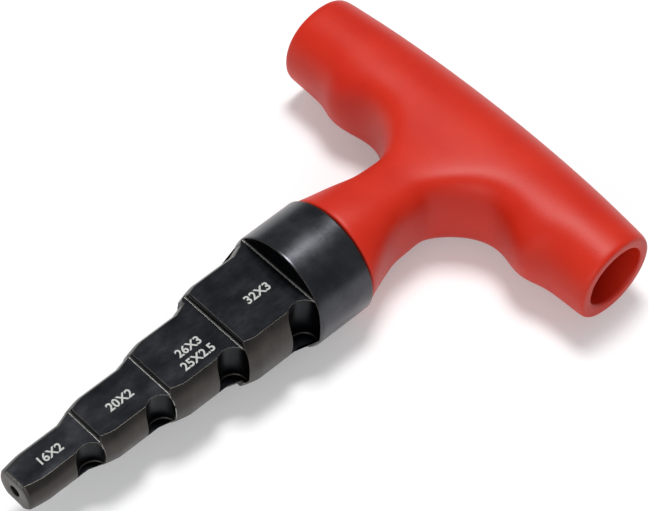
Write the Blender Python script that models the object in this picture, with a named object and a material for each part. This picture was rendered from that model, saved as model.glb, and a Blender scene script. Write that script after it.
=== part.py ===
# A pipe calibrator: a stepped black steel mandrel in a red moulded T-handle.
# The tool lies along Y with its tip towards -Y, the crossbar runs along X, and Z is up.
# The collar and the handle rest on the plane z = 0.
import math

import bmesh
import bpy
from mathutils import Matrix, Vector

MM = 0.001

# Each step of the mandrel, from the tip to the collar.
# The diameter calibrates the pipe, and the flats are the distance across the milled faces.
# The nose is the rounded lead-in, and the flare is the cutting cone at the step's root.
# The web is the metal left under the chip pocket, down to the far flat, and pocket_out is how
# far the pocket's axis lies outside the step's round side.
# The overruns say how far the milling of the flats and of the pocket bites into the next step.
STEP_1_DIAMETER = 12.0 * MM
STEP_1_LENGTH = 20.0 * MM
STEP_1_FLATS = 9.0 * MM
STEP_1_NOSE_DEPTH = 0.65 * MM
STEP_1_NOSE_LENGTH = 10.0 * MM
STEP_1_FLARE_RISE = 1.0 * MM
STEP_1_FLAT_OVERRUN = 0.4 * MM
STEP_1_WEB = 1.7 * MM
STEP_1_POCKET_OUT = 1.2 * MM
STEP_1_POCKET_OVERRUN = 0.2 * MM

STEP_2_DIAMETER = 16.0 * MM
STEP_2_LENGTH = 19.0 * MM
STEP_2_FLATS = 11.1 * MM
STEP_2_NOSE_DEPTH = 0.85 * MM
STEP_2_NOSE_LENGTH = 7.0 * MM
STEP_2_FLARE_RISE = 0.75 * MM
STEP_2_FLAT_OVERRUN = 0.5 * MM
STEP_2_WEB = 2.05 * MM
STEP_2_POCKET_OUT = 0.7 * MM
STEP_2_POCKET_OVERRUN = 0.3 * MM

STEP_3_DIAMETER = 20.0 * MM
STEP_3_LENGTH = 18.8 * MM
STEP_3_FLATS = 13.3 * MM
STEP_3_NOSE_DEPTH = 0.95 * MM
STEP_3_NOSE_LENGTH = 7.5 * MM
STEP_3_FLARE_RISE = 1.0 * MM
STEP_3_FLAT_OVERRUN = 1.4 * MM
STEP_3_WEB = 2.8 * MM
STEP_3_POCKET_OUT = 0.5 * MM
STEP_3_POCKET_OVERRUN = 1.2 * MM

STEP_4_DIAMETER = 26.0 * MM
STEP_4_LENGTH = 19.8 * MM
STEP_4_FLATS = 17.0 * MM
STEP_4_NOSE_DEPTH = 1.0 * MM
STEP_4_NOSE_LENGTH = 7.0 * MM
STEP_4_FLARE_RISE = 1.1 * MM
STEP_4_FLAT_OVERRUN = 1.3 * MM
STEP_4_WEB = 4.3 * MM
STEP_4_POCKET_OUT = -0.3 * MM
STEP_4_POCKET_OVERRUN = 1.1 * MM

NOSE_POWER = 2.5
FLARE_LENGTH = 3.4 * MM
FLAT_FILLET = 0.7 * MM  # radius that the milling cutter leaves at the end of each flat
TIP_EDGE_BREAK = 0.6 * MM
POCKET_RADIUS = 3.7 * MM
CENTRE_HOLE_DIAMETER = 3.0 * MM
CENTRE_HOLE_DEPTH = 7.0 * MM

COLLAR_DIAMETER = 30.1 * MM
COLLAR_LENGTH = 17.3 * MM
COLLAR_FRONT_DEPTH = 0.75 * MM  # the rounding of the collar's front edge, inwards
COLLAR_FRONT_ROUNDING = 2.0 * MM  # and along the axis
COLLAR_REAR_CHAMFER = 0.4 * MM

# The handle. The crossbar is oval, deeper at the back in the middle and with a finger hollow
# and a ridge on each side of the stem at the front.
FIT_GAP = 0.3 * MM  # between pieces that touch on the real tool
STEM_LENGTH = 44.5 * MM  # from the collar's rear face to the crossbar's axis
CROSSBAR_HALF_LENGTH = 50.0 * MM
HALF_HEIGHT_MIDDLE = 12.6 * MM
HALF_HEIGHT_END = 11.7 * MM
HALF_HEIGHT_POWER = 5  # keeps the underside straight in the middle, so that the tool lies still
BACK_MIDDLE = 14.5 * MM
BACK_END = 11.1 * MM
FRONT_END = 11.6 * MM
END_ROUNDING = 0.35 * MM  # how much smaller the end faces are than the bar behind them
FRONT_RIDGE = 14.0 * MM
RIDGE_OFFSET = 31.4 * MM
RIDGE_INSIDE = 9.8 * MM  # from the ridge's crest towards the middle
RIDGE_OUTSIDE = 7.1 * MM  # from the crest towards the end
RIDGE_FULLNESS = 2.24  # exponent of the section's front half; 2 is a plain oval
FRONT_HOLLOW = 10.5 * MM
HOLLOW_OFFSET = 21.7 * MM  # from the middle to the deepest point of the finger hollow
HOLLOW_FULLNESS = 3.0
ROOT_SPREAD = 26.4 * MM  # width along the crossbar that the stem's root takes up
ROOT_RISE = 3.65 * MM  # how far the crossbar's front stands out where the root begins
ROOT_RISE_POWER = 2.4
BORE_DIAMETER = 16.4 * MM
STEM_FRONT_DIAMETER = 29.2 * MM
STEM_TAPER = 1.1  # exponent of the narrowing from the front face to the waist
WAIST_WIDTH = 17.2 * MM
WAIST_DISTANCE = 13.5 * MM  # from the stem's front face to where it is no longer tapered
STEM_ROOT_HEIGHT = 24.0 * MM
STEM_ROOT_DISTANCE = 25.2 * MM
STEM_FULLNESS = 3.0  # exponent of the stem's section at the waist

# The drive stud inside the stem: a spigot, a flange and a hexagon with two grooves.
SPIGOT_DIAMETER = 10.0 * MM
SPIGOT_LENGTH = 14.0 * MM
SPIGOT_CHAMFER = 0.8 * MM
FLANGE_DIAMETER = 20.0 * MM
FLANGE_THICKNESS = 3.0 * MM
HEXAGON_ACROSS_FLATS = 12.0 * MM
HEXAGON_LENGTH = 29.0 * MM
GROOVE_DIAMETER = 10.4 * MM
GROOVE_WIDTH = 2.5 * MM
GROOVE_INSET = 4.5 * MM  # from each end of the hexagon to its nearer groove
SCREW_HOLE_END_ROOM = 1.5 * MM

TURNED_SIDES = 64
POCKET_SIDES = 48
STUD_SIDES = 24
SECTION_POINTS = 16
STEM_RINGS = 9

STEPS = [
    dict(diameter=STEP_1_DIAMETER, length=STEP_1_LENGTH, flats=STEP_1_FLATS,
         nose_depth=STEP_1_NOSE_DEPTH, nose_length=STEP_1_NOSE_LENGTH,
         flare_rise=STEP_1_FLARE_RISE, flat_overrun=STEP_1_FLAT_OVERRUN, web=STEP_1_WEB,
         pocket_out=STEP_1_POCKET_OUT, pocket_overrun=STEP_1_POCKET_OVERRUN),
    dict(diameter=STEP_2_DIAMETER, length=STEP_2_LENGTH, flats=STEP_2_FLATS,
         nose_depth=STEP_2_NOSE_DEPTH, nose_length=STEP_2_NOSE_LENGTH,
         flare_rise=STEP_2_FLARE_RISE, flat_overrun=STEP_2_FLAT_OVERRUN, web=STEP_2_WEB,
         pocket_out=STEP_2_POCKET_OUT, pocket_overrun=STEP_2_POCKET_OVERRUN),
    dict(diameter=STEP_3_DIAMETER, length=STEP_3_LENGTH, flats=STEP_3_FLATS,
         nose_depth=STEP_3_NOSE_DEPTH, nose_length=STEP_3_NOSE_LENGTH,
         flare_rise=STEP_3_FLARE_RISE, flat_overrun=STEP_3_FLAT_OVERRUN, web=STEP_3_WEB,
         pocket_out=STEP_3_POCKET_OUT, pocket_overrun=STEP_3_POCKET_OVERRUN),
    dict(diameter=STEP_4_DIAMETER, length=STEP_4_LENGTH, flats=STEP_4_FLATS,
         nose_depth=STEP_4_NOSE_DEPTH, nose_length=STEP_4_NOSE_LENGTH,
         flare_rise=STEP_4_FLARE_RISE, flat_overrun=STEP_4_FLAT_OVERRUN, web=STEP_4_WEB,
         pocket_out=STEP_4_POCKET_OUT, pocket_overrun=STEP_4_POCKET_OVERRUN),
]

# Shoulders, counted from the tip along +Y. The last one is the collar's front face.
SHOULDERS = [sum(step["length"] for step in STEPS[: i + 1]) for i in range(len(STEPS))]
COLLAR_REAR = SHOULDERS[-1] + COLLAR_LENGTH
STEM_FRONT = COLLAR_REAR + FIT_GAP
CROSSBAR_AXIS = COLLAR_REAR + STEM_LENGTH
TOTAL_LENGTH = CROSSBAR_AXIS + BACK_MIDDLE


def clear_scene():
    for obj in list(bpy.data.objects):
        bpy.data.objects.remove(obj, do_unlink=True)


def material(name, color, metallic, roughness):
    mat = bpy.data.materials.new(name)
    mat.use_nodes = True
    shader = mat.node_tree.nodes["Principled BSDF"]
    shader.inputs["Base Color"].default_value = (*color, 1.0)
    shader.inputs["Metallic"].default_value = metallic
    shader.inputs["Roughness"].default_value = roughness
    return mat


def add_object(name, bm, parent, location=(0, 0, 0), mat=None):
    bmesh.ops.recalc_face_normals(bm, faces=bm.faces)
    mesh = bpy.data.meshes.new(name)
    bm.to_mesh(mesh)
    bm.free()
    obj = bpy.data.objects.new(name, mesh)
    bpy.context.scene.collection.objects.link(obj)
    obj.parent = parent
    obj.location = location
    if mat:
        mesh.materials.append(mat)
        mesh.shade_smooth()
        mesh.set_sharp_from_angle(angle=math.radians(32))
    return obj


def cut(target, cutter):
    cutter.hide_render = True
    cutter.display_type = "WIRE"
    modifier = target.modifiers.new(cutter.name, "BOOLEAN")
    modifier.operation = "DIFFERENCE"
    modifier.solver = "EXACT"
    modifier.object = cutter


def turned(profile, sides):
    # Spins (radius, y) points about the Y axis. The profile starts and ends on the axis.
    bm = bmesh.new()
    verts = [bm.verts.new((radius, y, 0)) for radius, y in profile]
    edges = [bm.edges.new(pair) for pair in zip(verts, verts[1:])]
    bmesh.ops.spin(bm, geom=verts + edges, cent=(0, 0, 0), axis=(0, 1, 0),
                   angle=math.tau, steps=sides, use_merge=True)
    bmesh.ops.remove_doubles(bm, verts=bm.verts, dist=1e-7)
    return bm


def skin(bm, rings, cap_start=True, cap_end=True):
    # Joins rings of equal count with quads, one ring after the other.
    for ring, following in zip(rings, rings[1:]):
        for i in range(len(ring)):
            j = (i + 1) % len(ring)
            bm.faces.new((ring[i], ring[j], following[j], following[i]))
    if cap_start:
        bm.faces.new(list(reversed(rings[0])))
    if cap_end:
        bm.faces.new(rings[-1])


def prism_x(outline, half_width):
    # Extrudes an outline of (y, z) points along X, to both sides.
    bm = bmesh.new()
    face = bm.faces.new([bm.verts.new((-half_width, y, z)) for y, z in outline])
    moved = bmesh.ops.extrude_face_region(bm, geom=[face])["geom"]
    bmesh.ops.translate(bm, vec=(2 * half_width, 0, 0),
                        verts=[g for g in moved if isinstance(g, bmesh.types.BMVert)])
    return bm


# The mandrel

def mandrel_profile():
    # The outline runs from the bottom of the centre hole, round the outside, to the bottom of
    # the tapped hole for the drive stud's spigot.
    hole = CENTRE_HOLE_DIAMETER / 2
    points = [(0.0, CENTRE_HOLE_DEPTH + hole / 2), (hole, CENTRE_HOLE_DEPTH), (hole, 0.0)]
    start = 0.0
    for number, (step, shoulder) in enumerate(zip(STEPS, SHOULDERS)):
        radius = step["diameter"] / 2
        if number == 0:
            rim = radius - step["nose_depth"]
            points.append((rim - TIP_EDGE_BREAK, 0.0))
            nose_start = TIP_EDGE_BREAK
        else:
            nose_start = 0.0
        for i in range(7):
            along = (i / 6) ** 1.5
            left = (1 - along) ** NOSE_POWER
            y = nose_start + along * (step["nose_length"] - nose_start)
            points.append((radius - step["nose_depth"] * left, start + y))
        points.append((radius, shoulder - FLARE_LENGTH))
        points.append((radius + step["flare_rise"], shoulder))
        start = shoulder
    collar = COLLAR_DIAMETER / 2
    for i in range(5):
        along = (i / 4) ** 1.5
        points.append((collar - COLLAR_FRONT_DEPTH * (1 - along) ** 2,
                       start + COLLAR_FRONT_ROUNDING * along))
    points.append((collar, COLLAR_REAR - COLLAR_REAR_CHAMFER))
    points.append((collar - COLLAR_REAR_CHAMFER, COLLAR_REAR))
    thread = SPIGOT_DIAMETER / 2 + FIT_GAP
    bottom = STEM_FRONT - SPIGOT_LENGTH - SCREW_HOLE_END_ROOM
    points.append((thread, COLLAR_REAR))
    points.append((thread, bottom + SPIGOT_CHAMFER))
    points.append((thread - SPIGOT_CHAMFER, bottom))
    points.append((0.0, bottom))
    return points


def flats_outline():
    # The staircase above the flats, seen from the side, with the cutter's fillet at each end.
    top = COLLAR_DIAMETER
    first = STEPS[0]["flats"] / 2
    points = [(-TIP_EDGE_BREAK, top), (-TIP_EDGE_BREAK, first - 2 * TIP_EDGE_BREAK)]
    points.append((TIP_EDGE_BREAK, first))
    for number, (step, shoulder) in enumerate(zip(STEPS, SHOULDERS)):
        height = step["flats"] / 2
        end = shoulder + step["flat_overrun"]
        for i in range(6):
            angle = math.radians(90 * i / 5)
            points.append((end - FLAT_FILLET + FLAT_FILLET * math.sin(angle),
                           height + FLAT_FILLET - FLAT_FILLET * math.cos(angle)))
        if number + 1 < len(STEPS):
            points.append((end, STEPS[number + 1]["flats"] / 2))
    points.append((SHOULDERS[-1] + STEPS[-1]["flat_overrun"], top))
    return points


def make_mandrel(parent, mat):
    body = add_object("calibrating_mandrel", turned(mandrel_profile(), TURNED_SIDES), parent, mat=mat)
    for side, turn in (("top", 0), ("bottom", math.pi)):
        bm = prism_x(flats_outline(), COLLAR_DIAMETER)
        bmesh.ops.rotate(bm, verts=bm.verts, cent=(0, 0, 0), matrix=Matrix.Rotation(turn, 3, "Y"))
        cut(body, add_object("flats_cutter_" + side, bm, parent))
    # A chip pocket beside each root, on the right from above and on the left from below.
    for number, (step, shoulder) in enumerate(zip(STEPS, SHOULDERS)):
        axis = step["diameter"] / 2 + step["pocket_out"]
        floor = step["web"] - step["flats"] / 2
        depth = COLLAR_DIAMETER - floor
        centre = shoulder + step["pocket_overrun"] - POCKET_RADIUS
        place = Matrix.Translation((axis, centre, floor + depth / 2))
        for side, turn in (("right", 0), ("left", math.pi)):
            bm = bmesh.new()
            bmesh.ops.create_cone(bm, cap_ends=True, segments=POCKET_SIDES, radius1=POCKET_RADIUS,
                                  radius2=POCKET_RADIUS, depth=depth,
                                  matrix=Matrix.Rotation(turn, 4, "Y") @ place)
            cut(body, add_object(f"pocket_cutter_{number + 1}_{side}", bm, parent))
    return body


# The drive stud

def round_ring(y, radius):
    step = math.tau / STUD_SIDES
    return [(radius * math.sin(i * step), y, radius * math.cos(i * step)) for i in range(STUD_SIDES)]


def hexagon_ring(y, half_width):
    # Two of the flats face the stem's narrow sides, along X.
    points = []
    for i in range(STUD_SIDES):
        angle = i * math.tau / STUD_SIDES
        off = angle % (math.pi / 3) - math.pi / 6
        radius = half_width / math.cos(off)
        points.append((radius * math.sin(angle), y, radius * math.cos(angle)))
    return points


def stud_rings(grow, spigot=True, mouth=0.0):
    # The stud's sections from front to back, grown by a clearance when they cut its seat.
    front = STEM_FRONT
    rings = []
    if spigot:
        end = front - SPIGOT_LENGTH
        radius = SPIGOT_DIAMETER / 2
        rings.append(round_ring(end, radius - SPIGOT_CHAMFER))
        rings.append(round_ring(end + SPIGOT_CHAMFER, radius))
        rings.append(round_ring(front, radius))
    flange = FLANGE_DIAMETER / 2 + grow
    hexagon = HEXAGON_ACROSS_FLATS / 2 + grow
    groove = GROOVE_DIAMETER / 2 + grow
    root = front + FLANGE_THICKNESS
    end = root + HEXAGON_LENGTH
    rings.append(round_ring(front - mouth, flange))
    rings.append(round_ring(root + grow, flange))
    rings.append(hexagon_ring(root + grow, hexagon))
    for start in (root + GROOVE_INSET, end - GROOVE_INSET - GROOVE_WIDTH):
        rings.append(hexagon_ring(start + grow, hexagon))
        rings.append(round_ring(start + grow, groove))
        rings.append(round_ring(start + GROOVE_WIDTH - grow, groove))
        rings.append(hexagon_ring(start + GROOVE_WIDTH - grow, hexagon))
    rings.append(hexagon_ring(end + grow, hexagon))
    return rings


def lofted(rings):
    bm = bmesh.new()
    skin(bm, [[bm.verts.new(point) for point in ring] for ring in rings])
    return bm


def make_stud(parent, mat):
    return add_object("drive_stud", lofted(stud_rings(0.0)), parent, mat=mat)


# The handle

def smooth(value):
    value = min(max(value, 0.0), 1.0)
    return value * value * (3 - 2 * value)


def back_depth(x):
    return BACK_MIDDLE - (BACK_MIDDLE - BACK_END) * (x / CROSSBAR_HALF_LENGTH) ** 2


def half_height(x):
    fall = HALF_HEIGHT_MIDDLE - HALF_HEIGHT_END
    return HALF_HEIGHT_MIDDLE - fall * abs(x / CROSSBAR_HALF_LENGTH) ** HALF_HEIGHT_POWER


def front_depth(x):
    # From the end inwards: the bar, the ridge, the finger hollow and the rise to the stem.
    x = abs(x)
    inside = x < RIDGE_OFFSET
    low = FRONT_HOLLOW if inside else FRONT_END
    reach = RIDGE_INSIDE if inside else RIDGE_OUTSIDE
    bump = 0.5 * (1 + math.cos(math.pi * min(abs(x - RIDGE_OFFSET) / reach, 1.0)))
    toward_root = max(HOLLOW_OFFSET - x, 0.0) / (HOLLOW_OFFSET - ROOT_SPREAD / 2)
    rise = ROOT_RISE * min(toward_root, 1.0) ** ROOT_RISE_POWER
    return low + (FRONT_RIDGE - low) * bump + rise


def fullness(x):
    # The front of the section is squarer in the finger hollow than at the ridge.
    reach = RIDGE_OFFSET - HOLLOW_OFFSET
    share = smooth(1 - (abs(x) - HOLLOW_OFFSET) / reach)
    return RIDGE_FULLNESS + (HOLLOW_FULLNESS - RIDGE_FULLNESS) * share


def oval(angle, power):
    # A point of a unit superellipse. The power 2 gives a circle.
    along, across = math.cos(angle), math.sin(angle)
    return (math.copysign(abs(along) ** (2 / power), along),
            math.copysign(abs(across) ** (2 / power), across))


def limit_factor(count):
    # A ring of control points stands this much outside the smooth surface that it makes.
    return 6 / (4 + 2 * math.cos(math.tau / count))


def crossbar_ring(bm, x, shrink=0.0):
    factor = limit_factor(SECTION_POINTS)
    ring = []
    for i in range(SECTION_POINTS):
        angle = i * math.tau / SECTION_POINTS
        behind = math.cos(angle) > 0
        depth = back_depth(x) if behind else front_depth(x)
        along, across = oval(angle, 2 if behind else fullness(x))
        y = (depth - shrink) * factor * along
        z = (half_height(x) - shrink) * factor * across
        ring.append(bm.verts.new((x, y, z)))
    return ring


def bore_ring(bm, x):
    radius = BORE_DIAMETER / 2 * limit_factor(SECTION_POINTS)
    step = math.tau / SECTION_POINTS
    return [bm.verts.new((x, radius * math.cos(i * step), radius * math.sin(i * step)))
            for i in range(SECTION_POINTS)]


def stem_half_width(distance):
    # Half of the stem's width along X, at a distance behind its front face.
    waist = WAIST_WIDTH / 2
    left = max(1 - distance / WAIST_DISTANCE, 0.0)
    return waist + (STEM_FRONT_DIAMETER / 2 - waist) * left ** STEM_TAPER


def stem_half_height(distance):
    left = 1 - min(distance / STEM_ROOT_DISTANCE, 1.0)
    return STEM_ROOT_HEIGHT / 2 + (STEM_FRONT_DIAMETER - STEM_ROOT_HEIGHT) / 2 * smooth(left)


def make_handle(parent, mat):
    bm = bmesh.new()
    half = CROSSBAR_HALF_LENGTH
    root = ROOT_SPREAD / 2
    wall = FRONT_END - BORE_DIAMETER / 2
    # Rings of the crossbar from left to right. The stem grows out of the four middle spans.
    past_root = [root + (RIDGE_OFFSET - root) * t for t in (0.28, 0.55, 0.78, 1.0)]
    past_ridge = [RIDGE_OFFSET + RIDGE_OUTSIDE * t for t in (0.45, 0.95)]
    right = [root / 2, root] + past_root + past_ridge + [half - wall, half]
    stations = [-x for x in reversed(right)] + [0.0] + right
    rings = [crossbar_ring(bm, x, END_ROUNDING if abs(x) == half else 0.0) for x in stations]
    middle = len(right)
    patch_rings = range(middle - 2, middle + 2)
    low = 5 * SECTION_POINTS // 16
    high = 11 * SECTION_POINTS // 16
    for index, (ring, following) in enumerate(zip(rings, rings[1:])):
        for i in range(SECTION_POINTS):
            if index in patch_rings and low <= i < high:
                continue
            j = (i + 1) % SECTION_POINTS
            bm.faces.new((ring[i], ring[j], following[j], following[i]))
    # The end faces and the bore close the crossbar into a tube.
    middle_of_wall = (END_ROUNDING + wall) / 2
    left_mid = crossbar_ring(bm, -half, middle_of_wall)
    right_mid = crossbar_ring(bm, half, middle_of_wall)
    mouth = wall / 3
    inner = [bore_ring(bm, x) for x in (-half, -half + mouth, -half / 3, half / 3, half - mouth, half)]
    skin(bm, [rings[0], left_mid] + inner + [right_mid, rings[-1]], cap_start=False, cap_end=False)
    # The open edge where the stem joins, as one loop: along the top, then down the right side.
    first, last = rings[middle - 2], rings[middle + 2]
    top = [rings[i][low] for i in range(middle - 2, middle + 2)]
    side = [last[i] for i in range(low, high)]
    bottom = [rings[i][high] for i in range(middle + 2, middle - 2, -1)]
    other = [first[i] for i in range(high, low, -1)]
    loop = top + side + bottom + other
    count = len(loop)
    factor = limit_factor(count)
    stem = [loop]
    reach = STEM_LENGTH - FIT_GAP
    for number in range(STEM_RINGS):
        # Rings stand closer together near the collar, where the stem widens.
        t = 1 - number / (STEM_RINGS - 1)
        distance = STEM_ROOT_DISTANCE * t ** 1.25
        width = stem_half_width(distance) * factor
        height = stem_half_height(distance) * factor
        ring = []
        power = 2 + (STEM_FULLNESS - 2) * smooth(distance / WAIST_DISTANCE)
        for k in range(count):
            along, across = oval(math.tau * (k - 2) / count, power)
            ring.append(bm.verts.new((width * across, distance - reach, height * along)))
        stem.append(ring)
    inset = [bm.verts.new(Vector((0.9 * v.co.x, v.co.y, 0.9 * v.co.z))) for v in stem[-1]]
    stem.append(inset)
    skin(bm, stem, cap_start=False, cap_end=True)
    obj = add_object("handle_moulding", bm, parent, location=(0, CROSSBAR_AXIS, 0), mat=mat)
    subdivide = obj.modifiers.new("smooth_form", "SUBSURF")
    subdivide.levels = 1
    subdivide.render_levels = 1
    seat = lofted(stud_rings(FIT_GAP, spigot=False, mouth=2 * FIT_GAP))
    cut(obj, add_object("stud_seat_cutter", seat, parent))
    return obj


def main():
    clear_scene()
    black_steel = material("burnished_black_steel", (0.045, 0.045, 0.05), 0.9, 0.38)
    bright_steel = material("plain_turned_steel", (0.55, 0.55, 0.56), 1.0, 0.35)
    red_plastic = material("red_moulded_plastic", (0.58, 0.03, 0.02), 0.0, 0.35)
    tip = bpy.data.objects.new("tool_tip", None)
    bpy.context.scene.collection.objects.link(tip)
    tip.location = (0, -TOTAL_LENGTH / 2, COLLAR_DIAMETER / 2)
    make_mandrel(tip, black_steel)
    make_stud(tip, bright_steel)
    make_handle(tip, red_plastic)


main()
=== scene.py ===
import bpy
import bmesh
import math
from mathutils import Matrix, Vector


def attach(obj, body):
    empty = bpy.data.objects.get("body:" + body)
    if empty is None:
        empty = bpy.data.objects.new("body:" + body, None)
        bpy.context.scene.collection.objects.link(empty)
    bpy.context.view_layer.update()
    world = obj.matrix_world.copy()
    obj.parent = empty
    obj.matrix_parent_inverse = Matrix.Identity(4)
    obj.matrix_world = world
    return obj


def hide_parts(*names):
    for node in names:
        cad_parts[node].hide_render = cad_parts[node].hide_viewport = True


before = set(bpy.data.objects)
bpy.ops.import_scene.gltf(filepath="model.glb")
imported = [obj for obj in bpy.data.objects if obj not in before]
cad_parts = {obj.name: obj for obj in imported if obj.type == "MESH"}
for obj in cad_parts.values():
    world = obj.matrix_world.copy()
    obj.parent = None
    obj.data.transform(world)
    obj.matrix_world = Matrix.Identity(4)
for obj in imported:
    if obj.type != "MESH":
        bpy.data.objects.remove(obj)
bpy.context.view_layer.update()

mm = 0.001
tipY = -153.9 / 2 * mm   # the tip's place on Y
axisZ = 15.05 * mm       # height of the tool's axis above the table
collarRear = 94.9        # mm behind the tip
crossbarY = 139.4        # the crossbar's axis, mm behind the tip


# small helpers

def onAxis(y):
    # the point of the tool's axis y mm behind the tip
    return (0, tipY + y * mm, axisZ)


def startClean():
    if bpy.context.mode != "OBJECT":
        bpy.ops.object.mode_set(mode="OBJECT")
    bpy.ops.object.select_all(action="DESELECT")


def takeUp(piece):
    # makes one piece the active and only selected one
    startClean()
    piece.select_set(True)
    bpy.context.view_layer.objects.active = piece


def openUp(piece):
    takeUp(piece)
    bpy.ops.object.mode_set(mode="EDIT")


def pick(piece, kind, test):
    # in edit mode, selects the faces, edges or points that pass the test
    mesh = bmesh.from_edit_mesh(piece.data)
    bpy.ops.mesh.select_mode(type=kind)
    bpy.ops.mesh.select_all(action="DESELECT")
    for part in {"FACE": mesh.faces, "EDGE": mesh.edges, "VERT": mesh.verts}[kind]:
        part.select_set(bool(test(part)))
    mesh.select_flush_mode()
    bmesh.update_edit_mesh(piece.data)


def middle(part):
    return sum((v.co for v in part.verts), Vector()) / len(part.verts)


def settle(piece):
    # puts the place into the mesh, merges doubles and turns the faces outwards
    takeUp(piece)
    bpy.ops.object.transform_apply(location=True, rotation=True, scale=True)
    bpy.ops.object.mode_set(mode="EDIT")
    bpy.ops.mesh.select_all(action="SELECT")
    bpy.ops.mesh.remove_doubles(threshold=1e-6)
    bpy.ops.mesh.normals_make_consistent(inside=False)
    bpy.ops.object.mode_set(mode="OBJECT")


def applyAll(piece):
    takeUp(piece)
    for modifier in list(piece.modifiers):
        bpy.ops.object.modifier_apply(modifier=modifier.name)


def carve(piece, cutter, finish=None):
    # the cut faces take the cutter's finishes, where it has any
    settle(cutter)
    if finish:
        cutter.data.materials.append(finish)
    modifier = piece.modifiers.new("carve", "BOOLEAN")
    modifier.operation = "DIFFERENCE"
    modifier.material_mode = "TRANSFER" if len(cutter.data.materials) else "INDEX"
    modifier.object = cutter
    applyAll(piece)
    bpy.data.objects.remove(cutter, do_unlink=True)


def turnedBar(name, outline, sides):
    # a disc at the first (y, radius), drawn out along the tool's axis ring by ring
    startClean()
    y, radius = outline[0]
    bpy.ops.mesh.primitive_circle_add(vertices=sides, radius=radius * mm, fill_type="NGON",
                                      location=(0, 0, 0), rotation=(math.pi / 2, 0, 0))
    bar = bpy.context.object
    bar.name = name
    bpy.ops.object.transform_apply(location=False, rotation=True, scale=True)
    bar.location = onAxis(y)
    bpy.ops.object.transform_apply(location=True, rotation=False, scale=False)
    bpy.ops.object.mode_set(mode="EDIT")
    bpy.ops.mesh.select_all(action="SELECT")
    for nextY, nextRadius in outline[1:]:
        bpy.ops.mesh.extrude_region_move(TRANSFORM_OT_translate={"value": (0, (nextY - y) * mm, 0)})
        if nextRadius != radius:
            share = nextRadius / radius
            bpy.ops.transform.resize(value=(share, share, share), center_override=onAxis(nextY))
        y, radius = nextY, nextRadius
    bpy.ops.object.mode_set(mode="OBJECT")
    settle(bar)
    return bar


# the black steel mandrel, all sizes in mm

mandrel = dict(
    sides=144,
    # for each step: the flat's height over the axis, the radius that the nose takes off in front and
    # the flare adds behind, how far flat and pocket run past the step's end, the steel left under the
    # pocket, and how far the pocket's middle stands outside the step
    steps=[
        dict(radius=6.0, length=20.0, flat=4.5, nose=0.65, noseLength=5.6, flare=1.0, over=0.4, web=1.7,
             out=1.2, pocketOver=0.2),
        dict(radius=8.0, length=19.0, flat=5.55, nose=0.85, noseLength=4.5, flare=0.75, over=0.5, web=2.05,
             out=0.7, pocketOver=0.3),
        dict(radius=10.0, length=18.8, flat=6.65, nose=0.95, noseLength=4.8, flare=1.0, over=1.4, web=2.8,
             out=0.5, pocketOver=1.2),
        dict(radius=13.0, length=19.8, flat=8.5, nose=1.0, noseLength=4.6, flare=1.1, over=1.3, web=4.3,
             out=-0.3, pocketOver=1.1),
    ],
    nosePower=1.3,      # 1 is a plain cone
    noseRings=9,
    ringCrowding=1.5,   # 1 spaces the rings evenly, more crowds them at the front
    rimBreak=0.3,       # chamfer round the front rim of each step
    flareLength=3.4,
    flatFillet=0.32,
    flatFilletSteps=6,
    flatBreak=0.42,     # chamfer along the front edge of each flat
    tipBreak=0.6,
    cutterWidth=60,
    cutterReach=20.0,
    cutterLead=1.0,     # the flat's cutter starts this far in front of its step
    breakerWidth=40,
    pocketRadius=3.7,
    pocketSides=96,
    pocketFillet=0.35,
    pocketFilletSteps=3,
    millLength=25.0,
    holeRadius=1.5,
    holeDepth=7.0,
    drillPoint=0.8,     # the hole's bottom runs on this far to a point
    collarRadius=15.05,
    collarFrontDepth=0.75,
    collarFrontRounding=2.0,
    collarFrontRings=9,
    collarRearChamfer=0.4,
    rearHoleRadius=5.3,
    rearHoleDepth=15.2,
    rubbedFrom=11.0,    # the collar is rubbed where its faces lie at least this far from the axis
    edge=0.12,
    edgeSteps=3,
    edgeAngle=28,       # degrees, edges that turn more are broken
    smoothAngle=50,
    crumb=0.004,        # what the carving leaves that is smaller than this is merged
)


def shoulders():
    # each step's rear end, mm behind the tip
    ends, y = [], 0.0
    for step in mandrel["steps"]:
        y += step["length"]
        ends.append(y)
    return ends


def mandrelOutline():
    # (y, radius) points from the bottom of the tip's hole round the outside to the rear hole's bottom
    m = mandrel
    outline, start = [], 0.0
    for number, (step, end) in enumerate(zip(m["steps"], shoulders())):
        first = m["tipBreak"]
        if number:
            rim = step["radius"] - step["nose"]
            first = min(m["rimBreak"], rim - outline[-1][1])
            outline.append((start, rim - first))
        else:
            outline.append((m["holeDepth"] + m["drillPoint"], 0.05))
            outline += [(m["holeDepth"], m["holeRadius"]), (0.0, m["holeRadius"])]
            outline.append((0.0, step["radius"] - step["nose"] - m["tipBreak"]))
        for i in range(m["noseRings"]):
            along = (i / (m["noseRings"] - 1)) ** m["ringCrowding"]
            radius = step["radius"] - step["nose"] * (1 - along) ** m["nosePower"]
            outline.append((start + first + along * (step["noseLength"] - first), radius))
        outline.append((end - m["flareLength"], step["radius"]))
        outline.append((end, step["radius"] + step["flare"]))
        start = end
    for i in range(m["collarFrontRings"]):
        along = (i / (m["collarFrontRings"] - 1)) ** m["ringCrowding"]
        outline.append((start + m["collarFrontRounding"] * along,
                        m["collarRadius"] - m["collarFrontDepth"] * (1 - along) ** 2))
    outline.append((collarRear - m["collarRearChamfer"], m["collarRadius"]))
    outline.append((collarRear, m["collarRadius"] - m["collarRearChamfer"]))
    outline.append((collarRear, m["rearHoleRadius"]))
    outline.append((collarRear - m["rearHoleDepth"], m["rearHoleRadius"]))
    return outline


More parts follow.
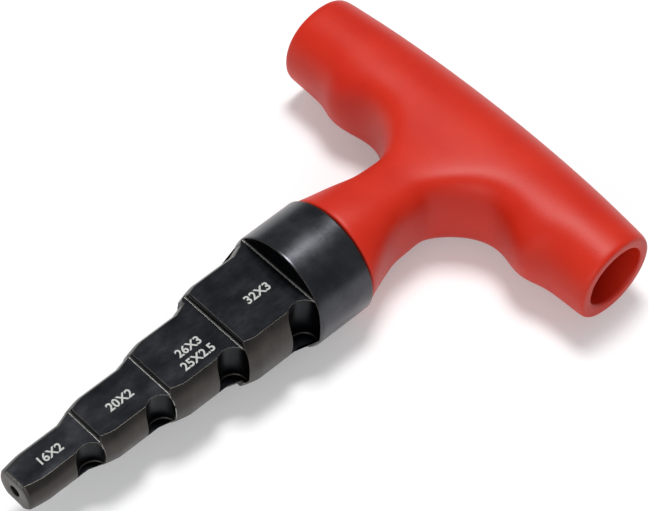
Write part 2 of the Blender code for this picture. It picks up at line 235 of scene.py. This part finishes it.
def flatCutter(step, end, side, finishes):
    # a block over one flat, its lower rear edge rounded as the milling cutter leaves it; the second
    # finish goes on that round
    m = mandrel
    startClean()
    reach, low = m["cutterReach"], step["flat"]
    start, stop = end - step["length"] - m["cutterLead"], end + step["over"]
    bpy.ops.mesh.primitive_cube_add(size=1)
    block = bpy.context.object
    block.scale = (m["cutterWidth"] * mm, (stop - start) * mm, reach * mm)
    block.location = (0, tipY + (start + stop) / 2 * mm, axisZ + side * (low + reach / 2) * mm)
    bpy.ops.object.transform_apply(location=True, rotation=True, scale=True)
    for finish in finishes:
        block.data.materials.append(finish)
    bpy.ops.object.mode_set(mode="EDIT")
    rear, floor = tipY + stop * mm, axisZ + side * low * mm
    pick(block, "EDGE", lambda e: all(abs(v.co.y - rear) < 1e-6 and abs(v.co.z - floor) < 1e-6
                                      for v in e.verts))
    bpy.ops.mesh.bevel(offset=m["flatFillet"] * mm, segments=m["flatFilletSteps"], profile=0.5,
                       affect="EDGES", material=1)
    bpy.ops.object.mode_set(mode="OBJECT")
    return block


def breakCutter(y, low, size, side):
    # a block on edge, which breaks the edge at y between a flat and the face in front of it; its side
    # is 4 sizes, and its face passes the edge by size / sqrt(2), so both legs of the break are size
    startClean()
    bpy.ops.mesh.primitive_cube_add(size=1)
    block = bpy.context.object
    block.scale = (mandrel["breakerWidth"] * mm, size * 4 * mm, size * 4 * mm)
    block.rotation_euler = (math.pi / 4, 0, 0)
    shift = size * (math.sqrt(2) - 0.5)
    block.location = (0, tipY + (y - shift) * mm, axisZ + side * (low + shift) * mm)
    return block


def pocketCutter(step, end, side):
    # an upright end mill beside the root; the left one comes from below
    m = mandrel
    startClean()
    floor, depth = step["web"] - step["flat"], m["millLength"]
    x, y = step["radius"] + step["out"], end + step["pocketOver"] - m["pocketRadius"]
    bpy.ops.mesh.primitive_cylinder_add(
        vertices=m["pocketSides"], radius=m["pocketRadius"] * mm, depth=depth * mm,
        location=(side * x * mm, tipY + y * mm, axisZ + side * (floor + depth / 2) * mm))
    mill = bpy.context.object
    bpy.ops.object.transform_apply(location=True, rotation=True, scale=True)
    bpy.ops.object.mode_set(mode="EDIT")
    floorZ = axisZ + side * floor * mm
    pick(mill, "EDGE", lambda e: all(abs(v.co.z - floorZ) < 1e-6 for v in e.verts))
    bpy.ops.mesh.bevel(offset=m["pocketFillet"] * mm, segments=m["pocketFilletSteps"], profile=0.5,
                       affect="EDGES")
    bpy.ops.object.mode_set(mode="OBJECT")
    return mill


def makeMandrel(turned, rubbed, milled, worn, thick):
    m = mandrel
    bar = turnedBar("steppedMandrel", mandrelOutline(), m["sides"])
    for finish in (turned, worn, rubbed):
        bar.data.materials.append(finish)
    # worn chamfers round the rims of the steps, whose pale grey is partly wear and partly painted highlight,
    # and the rubbed collar
    openUp(bar)
    for end in shoulders()[:3]:
        pick(bar, "FACE", lambda f: 0.01 < (middle(f).y - tipY) / mm - end < m["rimBreak"] - 0.01)
        bar.active_material_index = 1
        bpy.ops.object.material_slot_assign()
    collarFront, rubbedFrom = tipY + (shoulders()[-1] + 0.01) * mm, m["rubbedFrom"] * mm
    pick(bar, "FACE", lambda f: middle(f).y > collarFront
         and (middle(f).xz - Vector((0, axisZ))).length > rubbedFrom)
    bar.active_material_index = 2
    bpy.ops.object.material_slot_assign()
    bpy.ops.object.mode_set(mode="OBJECT")
    # the tip's broken edges, the flats, the flats' broken front edges, the chip pockets
    pairs = list(zip(m["steps"], shoulders()))
    # the tip's broken edges take the worn finish: wear and painted highlight
    for side in (1, -1):
        carve(bar, breakCutter(0, m["steps"][0]["flat"], m["tipBreak"], side), worn)
    # the flats' rear fillets take the worn finish, whose pale grey there is painted highlight
    for step, end in pairs:
        for side in (1, -1):
            carve(bar, flatCutter(step, end, side, (milled, worn)))
    for (step, end), (nextStep, _) in zip(pairs, pairs[1:]):
        for side in (1, -1):
            carve(bar, breakCutter(end + step["over"], nextStep["flat"], m["flatBreak"], side), milled)
    # the pockets take a nearly black finish, which is painted shade
    for step, end in pairs:
        for side in (1, -1):
            carve(bar, pocketCutter(step, end, side), thick)
    openUp(bar)
    bpy.ops.mesh.select_all(action="SELECT")
    bpy.ops.mesh.remove_doubles(threshold=m["crumb"] * mm)
    bpy.ops.mesh.dissolve_degenerate(threshold=m["crumb"] * mm)
    bpy.ops.object.mode_set(mode="OBJECT")
    soften = bar.modifiers.new("brokenEdges", "BEVEL")
    soften.width = m["edge"] * mm
    soften.segments = m["edgeSteps"]
    soften.limit_method = "ANGLE"
    soften.angle_limit = math.radians(m["edgeAngle"])
    soften.use_clamp_overlap = False
    soften.material = 0
    applyAll(bar)
    # smooth shading in which the large faces keep their own direction
    bpy.ops.object.shade_smooth_by_angle(angle=math.radians(m["smoothAngle"]))
    weighted = bar.modifiers.new("flatFaces", "WEIGHTED_NORMAL")
    weighted.keep_sharp = True
    weighted.weight = 100
    applyAll(bar)
    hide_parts("calibrating_mandrel")
    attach(bar, "root")
    print("mandrel made,", len(bar.data.polygons), "faces")
    return bar


# the red moulded T-handle, all sizes in mm

handle = dict(
    halfLength=50.0,
    halfHeightMiddle=12.6,
    halfHeightEnd=11.7,
    halfHeightPower=5,
    backMiddle=14.5,
    backEnd=11.1,
    frontEnd=11.6,
    endRounding=0.9,
    endRings=(0.93, 0.86),            # the end face's rings, as shares of the ring before
    endStations=(3.4, 1.3, 0.25, 0),  # the cage's last rings, counted from the end
    frontRidge=14.0,
    ridgeOffset=31.4,
    ridgeInside=9.8,
    ridgeOutside=7.1,
    ridgeFullness=2.24,
    frontHollow=10.5,
    hollowOffset=21.7,
    hollowFullness=3.0,
    hollowStations=(0.28, 0.55, 0.78, 1.0),   # shares of the way from the stem to the ridge
    ridgeStations=(0.45, 0.95),               # shares of the ridge's outer slope
    rootSpread=26.4,
    rootRise=3.65,
    rootRisePower=2.4,
    boreRadius=8.2,
    mouthRounding=0.7,
    stemFront=29.2,
    stemTaper=1.1,
    waistWidth=17.2,
    waistDistance=13.5,
    stemRootHeight=24.0,
    stemRootDistance=25.2,
    stemFullness=3.0,
    stemRingCrowding=1.25,
    stemFrontRing=0.9,
    gap=0.3,            # to the collar
    cageRadius=10,      # plain tubes have this radius before their rings are shaped
    barPoints=16,
    openingFaces=5.05,  # the stem joins the faces that lie more than this many faces from the back
    stemPoints=20,
    stemRings=9,
    smoothing=3,
    smoothAngle=40,
    # what the plastic leaves round the stud: a round seat, then a hexagonal one
    flangeSeat=dict(radius=10.3, start=-0.6, end=3.3, sides=64),
    hexagonSeat=dict(radius=6.3 / math.cos(math.pi / 6), start=3.0, end=32.3, sides=6),
)


def eased(share):
    share = min(max(share, 0.0), 1.0)
    return share * share * (3 - 2 * share)


def growth(count):
    # points of a rough ring stand this much outside the smooth form that it gives
    return 6 / (4 + 2 * math.cos(math.tau / count))


def ovalPoint(angle, power):
    along, across = math.cos(angle), math.sin(angle)
    return (math.copysign(abs(along) ** (2 / power), along),
            math.copysign(abs(across) ** (2 / power), across))


def barSection(x, angle):
    # (y, z) of a crossbar point at x mm, the angle counted from the back
    h = handle
    x = abs(x)
    share = x / h["halfLength"]
    beyond = max(1 - (h["halfLength"] - x) / h["endRounding"], 0.0)
    shrink = h["endRounding"] * (1 - math.sqrt(1 - min(beyond, 1.0) ** 2))
    drop = h["halfHeightMiddle"] - h["halfHeightEnd"]
    height = h["halfHeightMiddle"] - drop * share ** h["halfHeightPower"]
    if math.cos(angle) > 0:
        depth, fullness = h["backMiddle"] - (h["backMiddle"] - h["backEnd"]) * share ** 2, 2.0
    else:
        inside = x < h["ridgeOffset"]
        low = h["frontHollow"] if inside else h["frontEnd"]
        reach = h["ridgeInside"] if inside else h["ridgeOutside"]
        bump = 0.5 * (1 + math.cos(math.pi * min(abs(x - h["ridgeOffset"]) / reach, 1.0)))
        root = max(h["hollowOffset"] - x, 0.0) / (h["hollowOffset"] - h["rootSpread"] / 2)
        depth = low + (h["frontRidge"] - low) * bump + h["rootRise"] * min(root, 1.0) ** h["rootRisePower"]
        hollow = eased(1 - (x - h["hollowOffset"]) / (h["ridgeOffset"] - h["hollowOffset"]))
        fullness = h["ridgeFullness"] + (h["hollowFullness"] - h["ridgeFullness"]) * hollow
    along, across = ovalPoint(angle, fullness)
    grow = growth(h["barPoints"])
    return (depth - shrink) * grow * along, (height - shrink) * grow * across


def stemSection(y, angle):
    # (z, x) of a stem point, y mm behind the tip, the angle counted from the top
    h = handle
    distance = y - collarRear - h["gap"]
    waist = h["waistWidth"] / 2
    taper = max(1 - distance / h["waistDistance"], 0.0) ** h["stemTaper"]
    width = waist + (h["stemFront"] / 2 - waist) * taper
    rise = eased(1 - distance / h["stemRootDistance"])
    height = h["stemRootHeight"] / 2 + (h["stemFront"] - h["stemRootHeight"]) / 2 * rise
    power = 2 + (h["stemFullness"] - 2) * eased(distance / h["waistDistance"])
    along, across = ovalPoint(angle, power)
    grow = growth(h["stemPoints"])
    return height * grow * along, width * grow * across


def plainTube(name, points, radius, axis, stations):
    # an open tube about the X axis through the crossbar (axis 0), or about the tool's own (axis 1)
    startClean()
    stations = sorted(stations)
    length, centre = stations[-1] - stations[0], (stations[-1] + stations[0]) / 2
    turn = (0, math.pi / 2, 0) if axis == 0 else (math.pi / 2, 0, 0)
    place = (centre * mm, tipY + crossbarY * mm, axisZ) if axis == 0 else onAxis(centre)
    bpy.ops.mesh.primitive_cylinder_add(vertices=points, radius=radius * mm, depth=length * mm,
                                        end_fill_type="NOTHING", location=place, rotation=turn)
    tube = bpy.context.object
    tube.name = name
    bpy.ops.object.transform_apply(location=True, rotation=True, scale=True)
    bpy.ops.object.mode_set(mode="EDIT")
    for station in stations[1:-1]:
        bpy.ops.mesh.select_all(action="SELECT")
        point, normal = [0, tipY, axisZ], [0, 0, 0]
        point[axis] += station * mm
        normal[axis] = 1
        bpy.ops.mesh.bisect(plane_co=point, plane_no=normal)
    return tube


def shapeRings(tube, axis, radius, section):
    # scales each ring's points, pair by pair, from the plain circle to the ring's own outline
    centre = Vector(onAxis(crossbarY if axis == 0 else 0))
    zero = 0 if axis == 0 else tipY
    first, second = ((1, 2), (2, 0))[axis]
    pairs = {}
    for v in bmesh.from_edit_mesh(tube.data).verts:
        away = v.co - centre
        angle = math.degrees(math.atan2(abs(away[second]), away[first]))
        pairs.setdefault((round((v.co[axis] - zero) / mm, 2), round(angle, 1)), set()).add(v.index)
    for (place, angle), members in pairs.items():
        angle = math.radians(angle)
        wanted = section(place, angle)
        now = (radius * math.cos(angle), radius * math.sin(angle))
        scale = [1, 1, 1]
        for way, want, have in zip((first, second), wanted, now):
            if abs(have) > 1e-4:
                scale[way] = want / have
        pick(tube, "VERT", lambda v: v.index in members)
        bpy.ops.transform.resize(value=scale, center_override=centre)


def crossbarCage():
    # the crossbar's outside, with its end faces drawn in to a narrow ring and its front open for the stem
    h = handle
    half, root, ridge = h["halfLength"], h["rootSpread"] / 2, h["ridgeOffset"]
    right = [root / 2, root] + [root + (ridge - root) * share for share in h["hollowStations"]]
    right += [ridge + h["ridgeOutside"] * share for share in h["ridgeStations"]]
    right += [half - back for back in h["endStations"]]
    bar = plainTube("tHandle", h["barPoints"], h["cageRadius"], 0, [-x for x in right] + [0] + right)
    shapeRings(bar, 0, h["cageRadius"], barSection)
    for side in (-1, 1):
        pick(bar, "EDGE", lambda e: e.is_boundary and middle(e).x * side > half * 0.99 * mm)
        for share in h["endRings"]:
            bpy.ops.mesh.extrude_region_move()
            bpy.ops.transform.resize(value=(1, share, share), center_override=onAxis(crossbarY))

    def underStem(face):
        at = middle(face)
        angle = abs(math.atan2(at.z - axisZ, at.y - tipY - crossbarY * mm))
        return abs(at.x) < root * mm and angle > h["openingFaces"] * math.tau / h["barPoints"]

    pick(bar, "FACE", underStem)
    bpy.ops.mesh.delete(type="FACE")
    return bar


def stemCage(front):
    # from the collar to the crossbar, with the front face drawn in and closed
    h = handle
    shares = [(i / (h["stemRings"] - 1)) ** h["stemRingCrowding"] for i in range(h["stemRings"])]
    stem = plainTube("stem", h["stemPoints"], h["cageRadius"], 1,
                     [front + h["stemRootDistance"] * share for share in shares])
    shapeRings(stem, 1, h["cageRadius"], stemSection)
    frontY, share = tipY + front * mm, h["stemFrontRing"]
    pick(stem, "EDGE", lambda e: e.is_boundary and abs(middle(e).y - frontY) < 1e-5)
    bpy.ops.mesh.extrude_region_move()
    bpy.ops.transform.resize(value=(share, 1, share), center_override=onAxis(front))
    bpy.ops.mesh.edge_face_add()
    return stem


def makeHandle():
    h = handle
    half, mouth, front = h["halfLength"], h["mouthRounding"], collarRear + h["gap"]
    bar = crossbarCage()
    stem = stemCage(front)
    # the bore, its ends a little inside the crossbar's
    bore = plainTube("bore", h["barPoints"], h["boreRadius"] * growth(h["barPoints"]), 0,
                     [-half + mouth, -half + 2 * mouth, -half / 3, half / 3, half - 2 * mouth, half - mouth])
    # joined into one shell: the stem to the opening, the bore to both ends
    takeUp(bar)
    stem.select_set(True)
    bore.select_set(True)
    bpy.ops.object.join()
    bpy.ops.object.mode_set(mode="EDIT")
    pick(bar, "EDGE", lambda e: e.is_boundary and abs(middle(e).x) < h["rootSpread"] / 2 * 1.05 * mm)
    bpy.ops.mesh.bridge_edge_loops()
    for side in (-1, 1):
        pick(bar, "EDGE", lambda e: e.is_boundary and middle(e).x * side > half * 0.97 * mm)
        bpy.ops.mesh.bridge_edge_loops()
    bpy.ops.object.mode_set(mode="OBJECT")
    settle(bar)
    smooth = bar.modifiers.new("mouldedForm", "SUBSURF")
    smooth.levels = smooth.render_levels = h["smoothing"]
    applyAll(bar)
    for name in ("flangeSeat", "hexagonSeat"):
        seat = h[name]
        ends = [(front + seat["start"], seat["radius"]), (front + seat["end"], seat["radius"])]
        carve(bar, turnedBar(name, ends, seat["sides"]))
    takeUp(bar)
    bpy.ops.object.shade_smooth_by_angle(angle=math.radians(h["smoothAngle"]))
    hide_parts("handle_moulding")
    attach(bar, "root")
    print("handle made,", len(bar.data.polygons), "faces")
    return bar


# the pipe sizes on the flats: text, the flat's height, middle x and y, length and height of the letters

marks = dict(
    signs=[
        ("16X2", 4.5, 0.15, 10.3, 6.4, 2.35),
        ("20X2", 5.55, 0.45, 30.2, 7.0, 2.35),
        ("26X3", 6.65, 0.65, 50.4, 6.8, 2.35),
        ("25X2.5", 6.65, 4.15, 50.2, 9.2, 2.35),
        ("32X3", 8.5, 1.2, 71.0, 7.0, 2.35),
    ],
    thickness=0.03,
    boldness=0.022,   # this and the depth are in the text's own units
    depth=0.02,
    curveSteps=6,
)


def makeMark(text, flat, x, y, length, height):
    startClean()
    bpy.ops.object.text_add(location=(0, 0, 0))
    sign = bpy.context.object
    sign.name = "mark" + text.replace(".", "_")
    sign.data.body = text
    sign.data.offset = marks["boldness"]
    sign.data.extrude = marks["depth"]
    sign.data.resolution_u = marks["curveSteps"]
    bpy.ops.object.convert(target="MESH")
    # centred, then stretched to its size
    low = [min(v.co[i] for v in sign.data.vertices) for i in range(3)]
    high = [max(v.co[i] for v in sign.data.vertices) for i in range(3)]
    bpy.ops.object.mode_set(mode="EDIT")
    bpy.ops.mesh.select_all(action="SELECT")
    bpy.ops.transform.translate(value=[-(a + b) / 2 for a, b in zip(low, high)])
    bpy.ops.transform.resize(value=(length / (high[0] - low[0]) * mm, height / (high[1] - low[1]) * mm,
                                    marks["thickness"] / (high[2] - low[2]) * mm), center_override=(0, 0, 0))
    bpy.ops.object.mode_set(mode="OBJECT")
    sign.rotation_euler = (0, 0, math.pi / 2)
    sign.location = (x * mm, tipY + y * mm, axisZ + flat * mm)
    settle(sign)
    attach(sign, "root")
    return sign


# colours and nodes

def linear(code):
    # an sRGB hex code as linear red, green and blue
    levels = [int(code[i:i + 2], 16) / 255 for i in (1, 3, 5)]
    return tuple(v / 12.92 if v <= 0.04045 else ((v + 0.055) / 1.055) ** 2.4 for v in levels) + (1.0,)


def addNode(material, kind, settings=None, links=None):
    # adds a node, sets its properties and sockets, and links its sockets by name or number;
    # "stops" are a ramp's places and colours
    node = material.node_tree.nodes.new(kind)
    for key, value in (settings or {}).items():
        if key == "stops":
            for place, code in value[2:]:
                node.color_ramp.elements.new(place)
            for element, (place, code) in zip(node.color_ramp.elements, value):
                element.position, element.color = place, linear(code)
        elif isinstance(key, str) and hasattr(node, key):
            setattr(node, key, value)
        else:
            node.inputs[key].default_value = value
    for key, source in (links or {}).items():
        material.node_tree.links.new(source, node.inputs[key])
    return node


noiseLow, noiseHigh = 0.3, 0.7   # most of a noise lies between these


def patterned(finish):
    # a material whose colour and roughness vary in patches, with a relief of tool marks or grain
    material = bpy.data.materials.new(finish["name"])
    material.use_nodes = True
    shader = material.node_tree.nodes["Principled BSDF"]
    links = material.node_tree.links
    for socket, value in finish["even"].items():
        shader.inputs[socket].default_value = value
    where = addNode(material, "ShaderNodeTexCoord")
    noises = {}
    for name in ("patches", "relief"):
        if name in finish:
            size, repeats, detail, rough = finish[name]
            spread = addNode(material, "ShaderNodeMapping", {"Scale": [part / mm for part in repeats]},
                             {"Vector": where.outputs["Object"]})
            noise = addNode(material, "ShaderNodeTexNoise",
                            {"Scale": 1 / size, "Detail": detail, "Roughness": rough},
                            {"Vector": spread.outputs["Vector"]})
            noises[name] = noise.outputs["Fac"]
    colour = addNode(material, "ShaderNodeValToRGB", {"stops": finish["colours"]}, {"Fac": noises["patches"]})
    links.new(colour.outputs["Color"], shader.inputs["Base Color"])
    if "roughness" in finish:
        low, high = finish["roughness"]
        gloss = addNode(material, "ShaderNodeMapRange",
                        {"From Min": noiseLow, "From Max": noiseHigh, "To Min": low, "To Max": high},
                        {"Value": noises["patches"]})
        links.new(gloss.outputs[0], shader.inputs["Roughness"])
    if "relief" in finish:
        height, strength = finish["bump"]
        bump = addNode(material, "ShaderNodeBump", {"Distance": height * mm, "Strength": strength},
                       {"Height": noises["relief"]})
        links.new(bump.outputs["Normal"], shader.inputs["Normal"])
    return material


def dress(piece, material):
    piece.data.materials.clear()
    piece.data.materials.append(material)


# the finishes. Patches and relief are a noise's size in mm, how often it repeats along X, Y and Z (less
# than 1 draws its marks out that way), its detail and its roughness. Bump is a height in mm and a
# strength, and even is what stays the same all over

plain, rings = (1, 1, 1), (0.02, 1, 0.02)

# tool steel turned on a lathe and burnished black: warm dark grey, dull, with faint rings;
# the feed marks are about 0.1 mm apart and drawn at 0.5 mm so that they show
turnedBlackSteel = dict(
    name="turnedBurnishedSteel",
    even={"Metallic": 1.0},
    patches=(5.0, plain, 3.0, 0.6),
    colours=[(0.3, "#403e3b"), (0.5, "#464340"), (0.72, "#4d4945")],
    roughness=(0.34, 0.43),
    relief=(0.5, rings, 2.0, 0.6),
    bump=(0.02, 0.5),
)

# the collar, turned finer and rubbed by hands: cooler and glossier than the steps
collarBlackSteel = dict(
    name="rubbedBurnishedSteel",
    even={"Metallic": 1.0},
    patches=(6.0, plain, 3.0, 0.6),
    colours=[(0.3, "#3f4044"), (0.5, "#47484c"), (0.72, "#505154")],
    roughness=(0.25, 0.33),
    relief=(0.5, rings, 2.0, 0.6),
    bump=(0.015, 0.5),
)

# the flats, cut with an end mill, then burnished black: cooler, darker and smoother than the turned
# steel, with long faint cutter lines, which are about 0.1 mm apart and drawn at 0.6 mm
milledBlackSteel = dict(
    name="milledBurnishedSteel",
    even={"Metallic": 1.0},
    patches=(4.5, (1, 0.5, 1), 5.0, 0.65),
    colours=[(0.3, "#2a2c30"), (0.5, "#34363a"), (0.72, "#424448")],
    roughness=(0.17, 0.22),
    relief=(0.6, (1, 0.04, 0.5), 2.0, 0.6),
    bump=(0.006, 0.5),
)

# the pockets: nearly black, painted shade for these recesses, with upright lines
# drawn at 0.5 mm
pocketShadeSteel = dict(
    name="thickBurnishedSteel",
    even={"Metallic": 1.0},
    patches=(4.0, plain, 3.0, 0.6),
    colours=[(0.3, "#1b1c1f"), (0.7, "#26282b")],
    roughness=(0.28, 0.36),
    relief=(0.5, (1, 1, 0.05), 2.0, 0.6),
    bump=(0.006, 0.5),
)

# broken edges and the fillets at the flats' rear ends: greyer and duller; the pale grey is partly wear, where
# handling has thinned the black layer on the edges, and partly painted highlight, all of it in the fillets
wornAndHighlightSteel = dict(
    name="wornBurnishedSteel",
    even={"Metallic": 1.0},
    patches=(1.2, plain, 4.0, 0.7),
    colours=[(0.35, "#7d7c79"), (0.5, "#918f8b"), (0.68, "#a5a39e")],
    roughness=(0.36, 0.5),
)

# the black layer burnt away by a laser: pale grey steel with no gloss, faintly mottled
laserMark = dict(
    name="laserMarkedSteel",
    even={"Roughness": 0.7},
    patches=(0.4, plain, 3.0, 0.7),
    colours=[(0.3, "#a9aaa6"), (0.55, "#c4c4c0"), (0.75, "#d2d2ce")],
)

# free-cutting steel as the lathe leaves it: bright, with fine rings drawn at 0.3 mm
turnedSteel = dict(
    name="plainTurnedSteel",
    even={"Metallic": 1.0},
    patches=(0.3, rings, 2.0, 0.6),
    colours=[(0.3, "#a8a7a4"), (0.7, "#c4c3c0")],
    roughness=(0.25, 0.38),
    relief=(0.3, rings, 2.0, 0.6),
    bump=(0.01, 0.5),
)

# polyamide moulded in a finely eroded mould: one orange red all through, satin, with a grain of
# about 0.05 mm that is drawn at 0.45 mm so that it just shows
redPlastic = dict(
    name="redMouldedPolyamide",
    even={"IOR": 1.5, "Specular IOR Level": 0.29},
    patches=(14.0, plain, 3.0, 0.55),
    colours=[(0.3, "#c82410"), (0.7, "#d12c14")],
    roughness=(0.41, 0.46),
    relief=(0.45, plain, 3.0, 0.6),
    bump=(0.04, 0.8),
)


# camera, floor and light

view = dict(
    azimuth=44.274,
    elevation=53.146,
    roll=2.432,
    focal=2843.64,   # this and the width are in pixels
    width=649,
    place=(275.994, -189.546, 528.447),   # mm from the axis at the tip
)


def makeCamera():
    data = bpy.data.cameras.new("camera")
    data.sensor_width = 36
    data.lens = view["focal"] * data.sensor_width / view["width"]
    data.clip_start = 0.01
    camera = bpy.data.objects.new("camera", data)
    bpy.context.scene.collection.objects.link(camera)
    turn = (Matrix.Rotation(math.radians(view["azimuth"]), 4, "Z")
            @ Matrix.Rotation(math.radians(90 - view["elevation"]), 4, "X")
            @ Matrix.Rotation(math.radians(view["roll"]), 4, "Z"))
    x, y, z = (v * mm for v in view["place"])
    camera.matrix_world = Matrix.Translation((x, tipY + y, axisZ + z)) @ turn
    bpy.context.scene.camera = camera


studio = dict(
    floorSize=6,
    floorWhite=0.8,
    floorGlow=0.25,   # what the floor needs on top of its light to be seen white
    worldColour=(0.95, 0.97, 1.0, 1),
    worldStrength=0.3,
    overhead=dict(place=(-0.14, 0.17, 0.98), aim=(0, 0.03, 0), size=(0.28, 0.28), power=7),
    front=dict(place=(0.5, -0.9, 0.5), aim=(0, 0, 0), size=(0.7, 0.7), power=3.5),
)


def makeFloor():
    startClean()
    bpy.ops.mesh.primitive_plane_add(size=studio["floorSize"], location=(0, 0, 0))
    floor = bpy.context.object
    floor.name = "floor"
    material = bpy.data.materials.new("palePaper")
    material.use_nodes = True
    material.node_tree.nodes.clear()
    white = studio["floorWhite"]
    paper = addNode(material, "ShaderNodeBsdfDiffuse", {"Color": (white, white, white, 1)})
    path = addNode(material, "ShaderNodeLightPath")
    seen = addNode(material, "ShaderNodeMath", {"operation": "MAXIMUM"},
                   {0: path.outputs["Is Camera Ray"], 1: path.outputs["Is Glossy Ray"]})
    seen = addNode(material, "ShaderNodeMath", {"operation": "MAXIMUM"},
                   {0: seen.outputs[0], 1: path.outputs["Is Transmission Ray"]})
    strength = addNode(material, "ShaderNodeMath", {"operation": "MULTIPLY", 1: studio["floorGlow"]},
                       {0: seen.outputs[0]})
    glow = addNode(material, "ShaderNodeEmission", {}, {"Strength": strength.outputs[0]})
    both = addNode(material, "ShaderNodeAddShader", {}, {0: paper.outputs[0], 1: glow.outputs[0]})
    addNode(material, "ShaderNodeOutputMaterial", {}, {"Surface": both.outputs[0]})
    floor.data.materials.append(material)


def softbox(name, place, aim, size, power):
    data = bpy.data.lights.new(name, "AREA")
    data.shape = "RECTANGLE"
    data.size, data.size_y = size
    data.energy = power
    lamp = bpy.data.objects.new(name, data)
    bpy.context.scene.collection.objects.link(lamp)
    lamp.location = place
    lamp.rotation_euler = (Vector(aim) - Vector(place)).to_track_quat("-Z", "Y").to_euler()


def makeLight():
    world = bpy.data.worlds.new("studio")
    bpy.context.scene.world = world
    world.use_nodes = True
    sky = world.node_tree.nodes["Background"]
    sky.inputs["Color"].default_value = studio["worldColour"]
    sky.inputs["Strength"].default_value = studio["worldStrength"]
    softbox("overhead", **studio["overhead"])
    softbox("front", **studio["front"])


makeCamera()
makeFloor()
makeLight()
print("camera, floor and light are set")

steels = (turnedBlackSteel, collarBlackSteel, milledBlackSteel, wornAndHighlightSteel, pocketShadeSteel)
makeMandrel(*(patterned(finish) for finish in steels))
dress(makeHandle(), patterned(redPlastic))
dress(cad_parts["drive_stud"], patterned(turnedSteel))
grey = patterned(laserMark)
for sign in marks["signs"]:
    dress(makeMark(*sign), grey)
print("size marks made")

bpy.context.scene.view_settings.view_transform = "Standard"
